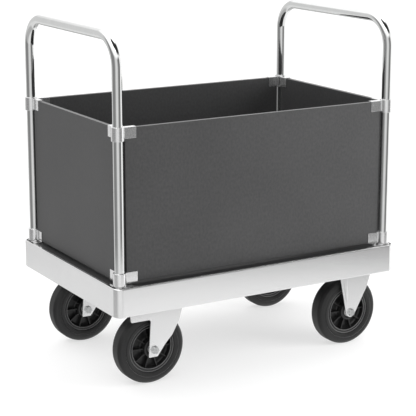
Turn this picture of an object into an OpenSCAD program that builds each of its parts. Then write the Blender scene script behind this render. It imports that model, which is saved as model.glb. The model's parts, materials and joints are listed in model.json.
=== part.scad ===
// Four-wheeled platform trolley with tubular end frames and four board sides.
// Millimetres. +X runs towards the fixed-castor end, +Y towards the rear side, +Z up.
// The origin is on the floor, under the middle of the deck.

/* [Deck] */
// Overall length of the deck
deck_length = 900; // [760:10:1200]
// Overall width of the deck
deck_width = 600; // [480:10:800]
// Height of the folded steel side of the deck
fascia_height = 78; // [66:1:96]
// Outer radius of the upright corners of the deck
corner_radius = 22; // [12:1:30]
// Thickness of the folded steel sheet
sheet = 2; // [1.5:0.5:3]
// Width of the steel rim that shows round the deck board
rim_width = 8; // [6:1:14]
// Length of each side of the steel corner plates
corner_plate = 62; // [55:1:75]
// Thickness of the deck board
board_thickness = 12; // [9:1:18]
// Depth of the board's top face below the rim
board_recess = 1; // [0.5:0.5:3]
// Width of the ledge that carries the board
ledge_width = 20; // [12:1:30]

/* [Underframe] */
// Depth of the cross rails, from the castor plates to the board
rail_depth = 54; // [45:1:70]
// Width of the cross rails that carry the castors
rail_width = 146; // [140:1:170]
// Width of the middle cross rail
centre_rail_width = 60; // [40:1:80]
// Thickness of the cross rails
rail_sheet = 3; // [2:0.5:4]

/* [End frames] */
// Outer diameter of the bent tubes
tube_diameter = 27; // [22:0.5:34]
// Wall of the bent tubes
tube_wall = 2; // [1.5:0.5:3]
// Height of the handle bar's centreline above the deck
bar_height = 649; // [540:1:800]
// Centreline radius of the tube bends
bend_radius = 80; // [60:1:120]
// Distance from the deck's ends to the tube centres
end_inset = 25; // [22:1:36]
// Distance from the deck's long sides to the tube centres
side_inset = 29; // [24:1:36]
// Depth of the sockets that hold the tubes
socket_depth = 60; // [50:1:60]
// Wall of the sockets
socket_wall = 3; // [2:0.5:4]

/* [Side panels] */
// Thickness of the side boards
panel_thickness = 12; // [8:1:18]
// Height of the side boards
panel_height = 410; // [330:5:500]
// Height of the boards' lower edge above the deck
panel_lift = 7; // [5:1:12]
// Gap between a tube and the upright edge of a board
panel_gap = 7; // [1:1:10]

/* [Corner clamps] */
// Wall of the collars round the tubes
collar_wall = 4; // [3:0.5:5]
// Height of the collars
collar_height = 37; // [30:1:45]
// How far the upper collars stand above the boards
collar_rise = 5; // [3:1:10]
// Reach of the clips, from the tube centre
clip_reach = 52; // [44:1:70]
// Height of the clips on the face of a board
clip_height = 28; // [20:1:36]
// Thickness of the clips
clip_sheet = 2; // [1.5:0.5:3]
// Diameter of the clamp screws
clamp_screw = 6; // [5:1:8]

/* [Wheels] */
// Outer diameter of the tyres
wheel_diameter = 200; // [160:5:240]
// Width of the tyres
tyre_width = 52; // [40:1:54]
// Depth of the rubber, from the rim to the tread
tyre_depth = 32; // [20:1:36]
// Radius of the tyres' shoulders
shoulder_radius = 15; // [8:1:18]
// Outer diameter of the hubs
hub_diameter = 52; // [44:1:58]
// Number of ribs on each side of a rim
rim_ribs = 10; // [6:1:14]

/* [Castors] */
// Height of the castor heads above the top of the wheels
head_height = 35; // [32:1:45]
// Distance from the swivel axis back to the wheel axle
trail = 48; // [36:1:60]
// Distance from the left end of the deck to the swivel axes
swivel_inset = 189; // [175:1:230]
// Distance from the right end of the deck to the fixed axles
fixed_inset = 112; // [100:1:150]
// Distance from the deck's long sides to the middle of the wheels
castor_side_inset = 95; // [80:1:130]
// Length of the castor plates, along X
plate_length = 135; // [120:1:138]
// Width of the castor plates, along Y
plate_width = 110; // [100:1:120]
// Thickness of the castor plates, forks and brackets
fork_sheet = 4; // [3:0.5:5]
// Clear width between the fork legs
fork_width = 60; // [60:1:68]
// Diameter of the axle bolts
axle_diameter = 12; // [10:1:14]
// Outer diameter of the axle sleeves
sleeve_diameter = 20; // [18:1:22]
// Diameter of the king bolts
king_diameter = 16; // [12:1:18]
// Diameter of the bolts that hold the castors
plate_bolt = 10; // [8:1:12]
// Diameter of the balls in the swivel heads
ball_diameter = 8; // [6:0.5:9]

/* [Hidden] */
$fn = 64;

// Small working values
return_lip = 14;     // width of the lip under the folded side
over = 1;            // how far a cutter runs past a face
fit = 0.1;           // clearance between pieces that are fastened together
run_fit = 0.05;      // radial clearance of a turning fit
gap = 0.3;           // clearance between pieces that move past each other

// Heights above the floor
crown_clear = 5;     // tyre up to the fork crown
axle_z = wheel_diameter / 2;
plate_top = wheel_diameter + head_height;
plate_bottom = plate_top - fork_sheet;
board_bottom = plate_top + rail_depth;
deck_top = board_bottom + board_thickness + board_recess;
deck_bottom = deck_top - fascia_height;
crown_bottom = wheel_diameter + crown_clear;
crown_top = crown_bottom + fork_sheet;
panel_bottom = deck_top + panel_lift;
panel_top = panel_bottom + panel_height;
bar_z = deck_top + bar_height;

// Places seen from above
tube_x = deck_length / 2 - end_inset;
tube_y = deck_width / 2 - side_inset;
swivel_x = swivel_inset - deck_length / 2;
swivel_axle_x = swivel_x - trail;
fixed_axle_x = deck_length / 2 - fixed_inset;
castor_y = deck_width / 2 - castor_side_inset;

// Tubes, collars and clips
tube_radius = tube_diameter / 2;
collar_radius = tube_radius + fit + collar_wall;
panel_edge = tube_radius + panel_gap;
socket_bore = tube_radius + fit;
socket_radius = socket_bore + socket_wall;
socket_floor = 3;
socket_bottom = deck_top - sheet - socket_depth;
tube_foot = socket_bottom + socket_floor;
socket_bolt = 8;
bolt_reach = 2;      // how far a socket bolt stands inside its tube
rail_clearance = 2;
socket_bolt_z = socket_bottom + socket_depth / 2;

// Castor heads
bracket_shift = 16;          // plate centre ahead of the fixed axle
plate_corner = 8;
bolt_pitch = [105, 86];      // hole pattern of the castor plates
fork_outer = fork_width / 2 + fork_sheet;
race_radius = 39;
cup_clear = 2;               // ball race to the skirt round it
race_height = 5;
ball_pitch = 31;
ball_count = 16;
ball_z = crown_top + race_height + ball_diameter / 2;
cup_wall = 3;
skirt_lift = 4;              // fork crown up to the dust skirt
cup_radius = race_radius + cup_clear;
king_head = 7;
axle_head = 7.5;
axle_nut_height = 11;
axle_end = 4;                // bolt end past the nut

// Swivel fork outline, measured from the axle
crown_back = -74;
crown_corner = 12;
skirt_drop = 14;             // wheel top down to the lower edge of the skirt
skirt_taper = 5;
leg_foot = 20;
web_clear = 4;               // tyre to the lower edge of the front web, at 45 degrees
web_slope = 9.5;             // how far the front web leans forward
web_foot = (axle_z + web_clear) * sin(45);
crown_front = web_foot + fork_sheet + web_slope;

// Fixed bracket outline, measured from the axle
bracket_tip = 15;
bracket_back = -43;
bracket_front = 76;

// Wheels
tyre_bore = axle_z - tyre_depth;
hub_radius = hub_diameter / 2;
hub_clear = 1;       // hub to each side of the fork
rim_inset = 5;       // rim edge behind the tyre side
rim_ring = 10;       // thickness of the outer ring
hub_length = fork_width - 2 * hub_clear;
bush_radius = 15;
rim_inner = tyre_bore - rim_ring;
rim_half = tyre_width / 2 - rim_inset;
rim_web = 8;
rib_thickness = 4;
rib_recess = 4;

// Hexagon sizes, across flats, and the height of a head or nut for its thread
head_ratio = 0.64;
nut_ratio = 0.8;
axle_hex = 19;
king_hex = 24;
plate_hex = 16;
socket_hex = 13;
screw_hex = 3;

// Colours

zinc = [0.78, 0.79, 0.80];
bright_zinc = [0.86, 0.87, 0.88];
board_grey = [0.25, 0.25, 0.26];
black_plastic = [0.10, 0.10, 0.11];
black_rubber = [0.14, 0.14, 0.15];

// ---------------------------------------------------------------- helpers

// Rectangle centred on the origin, with round corners
module round_rect(length, width, radius) {
    square([length - 2 * radius, width], center = true);
    square([length, width - 2 * radius], center = true);
    for (x = [-1, 1], y = [-1, 1])
        translate([x * (length / 2 - radius), y * (width / 2 - radius)])
            circle(r = radius);
}

// Slab with round corners, from z0 to z1
module round_slab(length, width, radius, z0, z1) {
    translate([0, 0, z0])
        linear_extrude(z1 - z0) round_rect(length, width, radius);
}

// Box from corner a to corner b
module box(a, b) {
    translate(a) cube(b - a);
}

// Hexagonal prism along +Z
module hexagon(across_flats, height) {
    cylinder(d = across_flats / cos(30), h = height, $fn = 6);
}

// Children drawn at one corner of the deck: side is -1 or 1 along X, face along Y
module at_corner(side, face) {
    scale_x = side < 0 ? 0 : 1;
    scale_y = face < 0 ? 0 : 1;
    mirror([scale_x, 0, 0]) mirror([0, scale_y, 0])
        translate([-tube_x, -tube_y, 0]) children();
}

// Children with their +Z axis turned along the wheel axle
module along_axle(x, y) {
    translate([x, y, axle_z]) rotate([90, 0, 0]) children();
}

// ---------------------------------------------------------------- deck

// Outline of the board opening: a rectangle with a square notch at each corner
module board_outline(grow) {
    difference() {
        square([deck_length - 2 * rim_width + 2 * grow, deck_width - 2 * rim_width + 2 * grow],
               center = true);
        for (x = [-1, 1], y = [-1, 1])
            translate([x * deck_length / 2, y * deck_width / 2])
                square(2 * (corner_plate - grow), center = true);
    }
}

// Folded side, top rim with corner plates, and lower return lip
module deck_frame() {
    color(bright_zinc) difference() {
        round_slab(deck_length, deck_width, corner_radius, deck_bottom, deck_top);
        round_slab(deck_length - 2 * sheet, deck_width - 2 * sheet, corner_radius - sheet,
                   deck_bottom + sheet, deck_top - sheet);
        box([-deck_length / 2 + return_lip, -deck_width / 2 + return_lip, deck_bottom - over],
            [deck_length / 2 - return_lip, deck_width / 2 - return_lip,
             deck_bottom + sheet + over]);
        translate([0, 0, deck_top - sheet - over])
            linear_extrude(sheet + 2 * over) board_outline(0);
        for (x = [-1, 1], y = [-1, 1])
            translate([x * tube_x, y * tube_y, deck_top - sheet - over])
                cylinder(r = socket_bore, h = sheet + 2 * over);
    }
}

// Angle under the rim, with the ledge that carries the board
module board_ledge() {
    color(zinc) difference() {
        translate([0, 0, board_bottom - sheet])
            linear_extrude(deck_top - board_bottom) board_outline(sheet);
        translate([0, 0, board_bottom])
            linear_extrude(deck_top - board_bottom + over) board_outline(0);
        translate([0, 0, board_bottom - sheet - over])
            linear_extrude(sheet + 2 * over) board_outline(-ledge_width);
    }
}

module deck_board() {
    color(board_grey)
        translate([0, 0, board_bottom])
            linear_extrude(board_thickness) board_outline(-fit);
}

// Upward-open channel across the inside of the deck frame, centred on x, and cut away
// under the board's ledge
module cross_rail(x, width) {
    half = deck_width / 2;
    difference() {
        intersection() {
            translate([x, 0, 0]) {
                box([-width / 2, -half, plate_top], [width / 2, half, plate_top + rail_sheet]);
                for (side = [-1, 1])
                    translate([side * (width - rail_sheet) / 2, 0, 0])
                        box([-rail_sheet / 2, -half, plate_top],
                            [rail_sheet / 2, half, board_bottom]);
            }
            round_slab(deck_length - 2 * sheet, deck_width - 2 * sheet, corner_radius - sheet,
                       plate_top, board_bottom);
        }
        translate([0, 0, board_bottom - sheet])
            linear_extrude(sheet + over) difference() {
                square([deck_length, deck_width], center = true);
                board_outline(-ledge_width - over);
            }
    }
}

// The four bolt places of one castor plate
module at_plate_bolts(x, y) {
    for (i = [-1, 1], j = [-1, 1])
        translate([x + i * bolt_pitch[0] / 2, y + j * bolt_pitch[1] / 2, 0]) children();
}

// Rail under one pair of castors, notched round the sockets
module castor_rail(x) {
    notch = socket_radius + rail_clearance;
    color(zinc) difference() {
        cross_rail(x, rail_width);
        for (side = [-1, 1], face = [-1, 1])
            at_corner(side, face)
                box([-end_inset, -side_inset, plate_top + rail_sheet],
                    [notch, notch, board_bottom + over]);
        for (face = [-1, 1])
            at_plate_bolts(x, face * castor_y)
                translate([0, 0, plate_top - over])
                    cylinder(r = plate_bolt / 2 + fit, h = rail_sheet + 2 * over);
    }
}

module castor_rail_left() { castor_rail(swivel_x); }
module castor_rail_right() { castor_rail(fixed_axle_x + bracket_shift); }
module centre_rail() { color(zinc) cross_rail((swivel_x + fixed_axle_x) / 2, centre_rail_width); }

// ---------------------------------------------------------------- end frames

// Socket under a corner plate, with a floor that the tube stands on
module socket(side, face) {
    color(zinc) at_corner(side, face) difference() {
        translate([0, 0, socket_bottom]) cylinder(r = socket_radius, h = socket_depth);
        translate([0, 0, tube_foot]) cylinder(r = socket_bore, h = socket_depth);
        translate([0, 0, socket_bolt_z]) rotate([0, 90, 0])
            cylinder(r = socket_bolt / 2 + fit, h = socket_radius + over);
    }
}

module socket_front_left() { socket(-1, -1); }
module socket_front_right() { socket(1, -1); }
module socket_rear_left() { socket(-1, 1); }
module socket_rear_right() { socket(1, 1); }

// Solid run of the bent tube in the YZ plane, of a given radius
module bent_run(radius, foot) {
    leg_top = bar_z - bend_radius;
    bar_half = tube_y - bend_radius;
    for (face = [-1, 1])
        mirror([0, face < 0 ? 1 : 0, 0]) {
            translate([0, tube_y, foot]) cylinder(r = radius, h = leg_top - foot);
            translate([0, bar_half, leg_top]) rotate([90, 0, 90])
                rotate_extrude(angle = 90) translate([bend_radius, 0]) circle(r = radius);
        }
    translate([0, bar_half, bar_z]) rotate([90, 0, 0]) cylinder(r = radius, h = 2 * bar_half);
}

module end_frame(side) {
    color(bright_zinc) translate([side * tube_x, 0, 0]) difference() {
        bent_run(tube_radius, tube_foot);
        bent_run(tube_radius - tube_wall, tube_foot - over);
        for (face = [-1, 1])
            translate([0, face * tube_y, socket_bolt_z]) rotate([0, -side * 90, 0])
                cylinder(r = socket_bolt / 2 + fit, h = tube_radius + over);
    }
}

module end_frame_left() { end_frame(-1); }
module end_frame_right() { end_frame(1); }

// Bolts through the inner side of each socket into its tube
module socket_bolts() {
    grip = tube_radius - tube_wall - bolt_reach;
    color(zinc) for (side = [-1, 1], face = [-1, 1])
        at_corner(side, face)
            translate([0, 0, socket_bolt_z]) rotate([0, 90, 0]) {
                translate([0, 0, grip]) cylinder(d = socket_bolt, h = socket_radius - grip);
                translate([0, 0, socket_radius]) hexagon(socket_hex, head_ratio * socket_bolt);
            }
}

// ---------------------------------------------------------------- side panels

module panel_long(face) {
    half = tube_x - panel_edge;
    color(board_grey) mirror([0, face < 0 ? 0 : 1, 0])
        box([-half, -tube_y, panel_bottom], [half, -tube_y + panel_thickness, panel_top]);
}

module panel_end(side) {
    half = tube_y - panel_edge;
    color(board_grey) mirror([side < 0 ? 0 : 1, 0, 0])
        box([-tube_x, -half, panel_bottom], [-tube_x + panel_thickness, half, panel_top]);
}

module panel_front() { panel_long(-1); }
module panel_rear() { panel_long(1); }
module panel_left() { panel_end(-1); }
module panel_right() { panel_end(1); }

// ---------------------------------------------------------------- corner clamps

// Channel that grips one edge of a board along +X; the edge is at z = 0, the board at z < 0
module clip() {
    start = tube_radius - clip_sheet;
    outer = -fit - clip_sheet;
    inner = panel_thickness + fit;
    box([start, outer, -clip_height], [clip_reach, -fit, fit + clip_sheet]);
    box([start, inner, -clip_height], [clip_reach, inner + clip_sheet, fit + clip_sheet]);
    box([start, outer, fit], [clip_reach, inner + clip_sheet, fit + clip_sheet]);
}

// Room for the end of one board along +X
module board_end() {
    box([panel_edge - fit, -fit, -2 * collar_height],
        [clip_reach + over, panel_thickness + fit, fit]);
}

// Collar with a clip for each board, on the tube axis; the boards' edge is at z = 0
module clamp_body(collar_z) {
    difference() {
        union() {
            translate([0, 0, collar_z]) cylinder(r = collar_radius, h = collar_height);
            clip();
            mirror([1, -1, 0]) clip();
        }
        board_end();
        mirror([1, -1, 0]) board_end();
        translate([0, 0, -2 * collar_height])
            cylinder(r = tube_radius + fit, h = 3 * collar_height);
        translate([0, 0, collar_z + collar_height / 2]) rotate([90, 0, 135])
            cylinder(d = clamp_screw + 2 * fit, h = 2 * collar_radius);
    }
}

module clamp_upper(side, face) {
    color(bright_zinc) at_corner(side, face)
        translate([0, 0, panel_top]) clamp_body(collar_rise - collar_height);
}

module clamp_lower(side, face) {
    color(bright_zinc) at_corner(side, face)
        translate([0, 0, panel_bottom]) mirror([0, 0, 1])
            clamp_body(panel_lift - collar_height - fit);
}

module clamp_upper_front_left() { clamp_upper(-1, -1); }
module clamp_upper_front_right() { clamp_upper(1, -1); }
module clamp_upper_rear_left() { clamp_upper(-1, 1); }
module clamp_upper_rear_right() { clamp_upper(1, 1); }
module clamp_lower_front_left() { clamp_lower(-1, -1); }
module clamp_lower_front_right() { clamp_lower(1, -1); }
module clamp_lower_rear_left() { clamp_lower(-1, 1); }
module clamp_lower_rear_right() { clamp_lower(1, 1); }

// One set screw on the inner diagonal of each collar, bearing on the tube
module clamp_screws() {
    upper_z = panel_top + collar_rise - collar_height / 2;
    lower_z = deck_top + fit + collar_height / 2;
    length = collar_radius - tube_radius;
    color(zinc) for (side = [-1, 1], face = [-1, 1], z = [upper_z, lower_z])
        at_corner(side, face) translate([0, 0, z]) rotate([90, 0, 135])
            translate([0, 0, tube_radius]) difference() {
                cylinder(d = clamp_screw, h = length);
                translate([0, 0, length / 2]) hexagon(screw_hex, length);
            }
}

// ---------------------------------------------------------------- castor heads

// Plate with four bolt holes
module castor_plate(x, y) {
    difference() {
        translate([x, y, 0])
            round_slab(plate_length, plate_width, plate_corner, plate_bottom, plate_top);
        at_plate_bolts(x, y)
            translate([0, 0, plate_bottom - over])
                cylinder(r = plate_bolt / 2 + fit, h = fork_sheet + 2 * over);
    }
}

// Plate of a swivel castor, with the upper ball seat and its dust skirt
module swivel_plate(face) {
    seat_z = ball_z + ball_diameter / 2 + gap;
    skirt_z = crown_top + skirt_lift;
    color(zinc) difference() {
        union() {
            castor_plate(swivel_x, face * castor_y);
            translate([swivel_x, face * castor_y, 0]) {
                translate([0, 0, seat_z]) cylinder(r = cup_radius + over, h = plate_top - seat_z);
                difference() {
                    translate([0, 0, skirt_z])
                        cylinder(r = cup_radius + cup_wall, h = plate_top - skirt_z);
                    translate([0, 0, skirt_z - over])
                        cylinder(r = cup_radius, h = seat_z - skirt_z + over);
                }
            }
        }
        translate([swivel_x, face * castor_y, crown_top])
            cylinder(r = king_diameter / 2 + fit, h = plate_top - crown_top + over);
    }
}

module swivel_plate_front_left() { swivel_plate(-1); }
module swivel_plate_rear_left() { swivel_plate(1); }

// Pin of the swivel head, with its hexagon under the fork crown
module king_bolt(face) {
    head_top = crown_bottom - gap;
    color(bright_zinc) translate([swivel_x, face * castor_y, 0]) {
        translate([0, 0, head_top - king_head]) hexagon(king_hex, king_head);
        translate([0, 0, head_top]) cylinder(d = king_diameter, h = plate_top - head_top);
    }
}

module king_bolt_front_left() { king_bolt(-1); }
module king_bolt_rear_left() { king_bolt(1); }

module ball_ring(face) {
    color(bright_zinc) translate([swivel_x, face * castor_y, ball_z])
        for (i = [0 : ball_count - 1])
            rotate([0, 0, i * 360 / ball_count])
                translate([ball_pitch, 0, 0]) sphere(d = ball_diameter - 2 * run_fit);
}

module ball_ring_front_left() { ball_ring(-1); }
module ball_ring_rear_left() { ball_ring(1); }

// Outline of one leg of the swivel fork, with the axle at the origin
module fork_leg_outline() {
    top = crown_top - axle_z;
    skirt = axle_z - skirt_drop;
    polygon([
        [crown_back, top],
        [crown_back + skirt_taper, skirt],
        [-11, skirt],
        [-18, -leg_foot],
        [9, -leg_foot],
        [33, 12],
        [55, 35],
        [crown_front - web_slope, web_foot],
        [crown_front, top]
    ]);
}

// Pressed fork: crown, two legs, front web and lower ball seat
module fork(face) {
    top = crown_top - axle_z;
    color(bright_zinc) difference() {
        union() {
            intersection() {
                union() {
                    translate([swivel_axle_x, face * castor_y, 0])
                        box([crown_back, -fork_outer, crown_bottom],
                            [crown_front, fork_outer, crown_top]);
                    for (leg = [-1, 1])
                        along_axle(swivel_axle_x,
                                   face * castor_y + leg * (fork_outer - fork_sheet / 2))
                            translate([0, 0, -fork_sheet / 2])
                                linear_extrude(fork_sheet) fork_leg_outline();
                    along_axle(swivel_axle_x, face * castor_y)
                        translate([0, 0, -fork_outer])
                            linear_extrude(2 * fork_outer)
                                polygon([
                                    [crown_front - web_slope - fork_sheet, web_foot],
                                    [crown_front - web_slope, web_foot],
                                    [crown_front, top],
                                    [crown_front - fork_sheet, top]
                                ]);
                }
                translate([swivel_axle_x + (crown_front + crown_back) / 2, face * castor_y, 0])
                    round_slab(crown_front - crown_back, 2 * fork_outer, crown_corner,
                               0, crown_top);
            }
            translate([swivel_x, face * castor_y, crown_top - over])
                cylinder(r = race_radius, h = race_height + over);
        }
        translate([swivel_x, face * castor_y, crown_bottom - over])
            cylinder(r = king_diameter / 2 + run_fit, h = 2 * over + fork_sheet + race_height);
        along_axle(swivel_axle_x, face * castor_y)
            translate([0, 0, -fork_outer - over])
                cylinder(d = axle_diameter + 2 * fit, h = 2 * (fork_outer + over));
    }
}

module fork_front_left() { fork(-1); }
module fork_rear_left() { fork(1); }

// Outline of one leg of the fixed bracket, with the axle at the origin
module bracket_leg_outline() {
    top = plate_bottom - axle_z + over;
    polygon([
        [bracket_back, top],
        [-bracket_tip, 2],
        [bracket_tip, -2],
        [56, 69],
        [bracket_front, top]
    ]);
    circle(r = bracket_tip);
}

// Pressed rib near the back edge of a bracket leg
module bracket_rib_outline() {
    top = plate_bottom - axle_z + over;
    polygon([[-29, top], [-16, top], [-15, 56], [-18, 46], [-20, 56]]);
}

// One-piece bracket: plate and two legs, each with a pressed rib
module bracket(face) {
    rib = 2.5;
    color(bright_zinc) difference() {
        union() {
            castor_plate(fixed_axle_x + bracket_shift, face * castor_y);
            for (leg = [-1, 1]) {
                along_axle(fixed_axle_x, face * castor_y + leg * (fork_outer - fork_sheet / 2))
                    translate([0, 0, -fork_sheet / 2])
                        linear_extrude(fork_sheet) bracket_leg_outline();
                along_axle(fixed_axle_x, face * castor_y + leg * (fork_outer + rib / 2))
                    translate([0, 0, -rib / 2])
                        linear_extrude(rib) bracket_rib_outline();
            }
        }
        along_axle(fixed_axle_x, face * castor_y)
            translate([0, 0, -fork_outer - over])
                cylinder(d = axle_diameter + 2 * fit, h = 2 * (fork_outer + over));
    }
}

module bracket_front_right() { bracket(-1); }
module bracket_rear_right() { bracket(1); }

// Bolts and nuts that hold the castor plates to the cross rails
module at_all_plate_bolts() {
    for (x = [swivel_x, fixed_axle_x + bracket_shift], face = [-1, 1])
        at_plate_bolts(x, face * castor_y) children();
}

module castor_bolts() {
    head = head_ratio * plate_bolt;
    color(zinc) at_all_plate_bolts() {
        translate([0, 0, plate_bottom - head]) hexagon(plate_hex, head);
        translate([0, 0, plate_bottom])
            cylinder(d = plate_bolt, h = fork_sheet + rail_sheet + plate_bolt);
    }
}

module castor_nuts() {
    height = nut_ratio * plate_bolt;
    color(zinc) at_all_plate_bolts()
        translate([0, 0, plate_top + rail_sheet]) difference() {
            hexagon(plate_hex, height);
            translate([0, 0, -over]) cylinder(d = plate_bolt + 2 * fit, h = height + 2 * over);
        }
}

// ---------------------------------------------------------------- wheels

// Axle bolt with its head on the front side of the fork or bracket
module axle_bolt(x, y) {
    color(zinc) along_axle(x, y) {
        translate([0, 0, fork_outer]) hexagon(axle_hex, axle_head);
        translate([0, 0, -fork_outer - axle_nut_height - axle_end])
            cylinder(d = axle_diameter, h = 2 * fork_outer + axle_nut_height + axle_end);
    }
}

module axle_nut(x, y) {
    color(zinc) along_axle(x, y)
        translate([0, 0, -fork_outer - axle_nut_height]) difference() {
            hexagon(axle_hex, axle_nut_height);
            translate([0, 0, -over])
                cylinder(d = axle_diameter + 2 * fit, h = axle_nut_height + 2 * over);
        }
}

// Sleeve clamped between the legs, on which the wheel turns
module axle_sleeve(x, y) {
    color(zinc) along_axle(x, y)
        translate([0, 0, -fork_width / 2]) difference() {
            cylinder(d = sleeve_diameter, h = fork_width);
            translate([0, 0, -over])
                cylinder(d = axle_diameter + 2 * fit, h = fork_width + 2 * over);
        }
}

module bush(x, y) {
    color([0.85, 0.83, 0.78]) along_axle(x, y)
        translate([0, 0, -hub_length / 2]) difference() {
            cylinder(r = bush_radius, h = hub_length);
            translate([0, 0, -over])
                cylinder(r = sleeve_diameter / 2 + run_fit, h = hub_length + 2 * over);
        }
}

// Moulded rim: hub, web, outer ring and radial ribs on both sides
module rim(x, y) {
    rib_half = rim_half - rib_recess;
    color(black_plastic) along_axle(x, y) difference() {
        union() {
            translate([0, 0, -hub_length / 2]) cylinder(r = hub_radius, h = hub_length);
            translate([0, 0, -rim_web / 2]) cylinder(r = tyre_bore - over, h = rim_web);
            translate([0, 0, -rim_half]) difference() {
                cylinder(r = tyre_bore, h = 2 * rim_half);
                translate([0, 0, -over]) cylinder(r = rim_inner, h = 2 * (rim_half + over));
            }
            for (i = [0 : rim_ribs - 1])
                rotate([0, 0, i * 360 / rim_ribs])
                    box([hub_radius - over, -rib_thickness / 2, -rib_half],
                        [rim_inner + over, rib_thickness / 2, rib_half]);
        }
        translate([0, 0, -hub_length / 2 - over])
            cylinder(r = bush_radius, h = hub_length + 2 * over);
    }
}

// Half section of a tyre, in the plane of radius and width
module tyre_section() {
    half = tyre_width / 2;
    centre = axle_z - shoulder_radius;
    translate([tyre_bore, -half]) square([centre - tyre_bore, tyre_width]);
    translate([tyre_bore, -half + shoulder_radius])
        square([tyre_depth, tyre_width - 2 * shoulder_radius]);
    for (side = [-1, 1])
        translate([centre, side * (half - shoulder_radius)]) circle(r = shoulder_radius);
}

module tyre(x, y) {
    color(black_rubber) along_axle(x, y)
        rotate_extrude() tyre_section();
}

module axle_bolt_front_left() { axle_bolt(swivel_axle_x, -castor_y); }
module axle_bolt_rear_left() { axle_bolt(swivel_axle_x, castor_y); }
module axle_nut_front_left() { axle_nut(swivel_axle_x, -castor_y); }
module axle_nut_rear_left() { axle_nut(swivel_axle_x, castor_y); }
module axle_sleeve_front_left() { axle_sleeve(swivel_axle_x, -castor_y); }
module axle_sleeve_rear_left() { axle_sleeve(swivel_axle_x, castor_y); }
module fixed_axle_bolts() { for (face = [-1, 1]) axle_bolt(fixed_axle_x, face * castor_y); }
module fixed_axle_nuts() { for (face = [-1, 1]) axle_nut(fixed_axle_x, face * castor_y); }
module fixed_axle_sleeves() { for (face = [-1, 1]) axle_sleeve(fixed_axle_x, face * castor_y); }
module rim_front_left() { rim(swivel_axle_x, -castor_y); }
module rim_rear_left() { rim(swivel_axle_x, castor_y); }
module rim_front_right() { rim(fixed_axle_x, -castor_y); }
module rim_rear_right() { rim(fixed_axle_x, castor_y); }
module bush_front_left() { bush(swivel_axle_x, -castor_y); }
module bush_rear_left() { bush(swivel_axle_x, castor_y); }
module bush_front_right() { bush(fixed_axle_x, -castor_y); }
module bush_rear_right() { bush(fixed_axle_x, castor_y); }
module tyre_front_left() { tyre(swivel_axle_x, -castor_y); }
module tyre_rear_left() { tyre(swivel_axle_x, castor_y); }
module tyre_front_right() { tyre(fixed_axle_x, -castor_y); }
module tyre_rear_right() { tyre(fixed_axle_x, castor_y); }

// ---------------------------------------------------------------- nodes

deck_frame();
board_ledge();
deck_board();
castor_rail_left();
castor_rail_right();
centre_rail();
socket_front_left();
socket_front_right();
socket_rear_left();
socket_rear_right();
end_frame_left();
end_frame_right();
panel_front();
panel_rear();
panel_left();
panel_right();
clamp_upper_front_left();
clamp_upper_front_right();
clamp_upper_rear_left();
clamp_upper_rear_right();
clamp_lower_front_left();
clamp_lower_front_right();
clamp_lower_rear_left();
clamp_lower_rear_right();
clamp_screws();
socket_bolts();
castor_bolts();
castor_nuts();
swivel_plate_front_left();
swivel_plate_rear_left();
king_bolt_front_left();
king_bolt_rear_left();
ball_ring_front_left();
ball_ring_rear_left();
fork_front_left();
fork_rear_left();
axle_bolt_front_left();
axle_bolt_rear_left();
axle_nut_front_left();
axle_nut_rear_left();
axle_sleeve_front_left();
axle_sleeve_rear_left();
bracket_front_right();
bracket_rear_right();
fixed_axle_bolts();
fixed_axle_nuts();
fixed_axle_sleeves();
rim_front_left();
rim_rear_left();
rim_front_right();
rim_rear_right();
bush_front_left();
bush_rear_left();
bush_front_right();
bush_rear_right();
tyre_front_left();
tyre_rear_left();
tyre_front_right();
tyre_rear_right();
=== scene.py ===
"""Looks of a platform trolley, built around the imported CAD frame. Metres, in the frame's axes."""
import json
import math

import bmesh
import bpy
from mathutils import Matrix, Vector


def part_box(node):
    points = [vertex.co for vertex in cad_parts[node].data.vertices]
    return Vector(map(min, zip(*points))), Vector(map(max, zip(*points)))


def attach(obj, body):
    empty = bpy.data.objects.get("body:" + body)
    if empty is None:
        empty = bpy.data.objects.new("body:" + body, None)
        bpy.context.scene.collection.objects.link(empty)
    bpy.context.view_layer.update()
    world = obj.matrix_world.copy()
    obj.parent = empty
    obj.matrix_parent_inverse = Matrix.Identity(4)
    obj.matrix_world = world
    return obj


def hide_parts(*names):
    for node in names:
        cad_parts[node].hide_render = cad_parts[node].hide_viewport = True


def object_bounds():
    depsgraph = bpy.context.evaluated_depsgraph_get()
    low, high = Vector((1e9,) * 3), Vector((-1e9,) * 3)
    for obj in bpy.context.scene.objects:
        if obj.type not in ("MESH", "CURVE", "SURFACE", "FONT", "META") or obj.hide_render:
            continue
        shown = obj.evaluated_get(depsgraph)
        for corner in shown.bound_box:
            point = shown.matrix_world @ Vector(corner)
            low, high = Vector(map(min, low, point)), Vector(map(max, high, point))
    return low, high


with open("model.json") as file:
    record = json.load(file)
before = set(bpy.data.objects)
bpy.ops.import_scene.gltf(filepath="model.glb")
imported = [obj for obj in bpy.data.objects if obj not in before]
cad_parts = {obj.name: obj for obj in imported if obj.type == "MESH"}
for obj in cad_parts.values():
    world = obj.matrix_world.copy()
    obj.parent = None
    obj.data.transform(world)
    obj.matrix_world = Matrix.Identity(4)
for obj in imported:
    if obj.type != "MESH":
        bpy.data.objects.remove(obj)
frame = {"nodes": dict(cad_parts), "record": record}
cad_low, cad_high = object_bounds()

SIDES = ("left", "right")
FACES = ("front", "rear")
CORNERS = [f"{face}_{side}" for face in FACES for side in SIDES]

# Mesh attribute that tells the tube's material how far along the tube a point is
TUBE_PLACE = "along_the_tube"

# Sizes that repeat the CAD source, metres; FIT is the gap round whatever sits in a bore or clip
FIT = 0.0001

# deck: folded sheet, its bends, the flat rim on top, the lip below and the corner plates
SHEET = 0.002
FOLD_RADIUS = 0.003
RIM_WIDTH = 0.008
RETURN_LIP = 0.014
LEDGE_WIDTH = 0.020
CORNER_RADIUS = 0.022
CORNER_PLATE = 0.062

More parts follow.
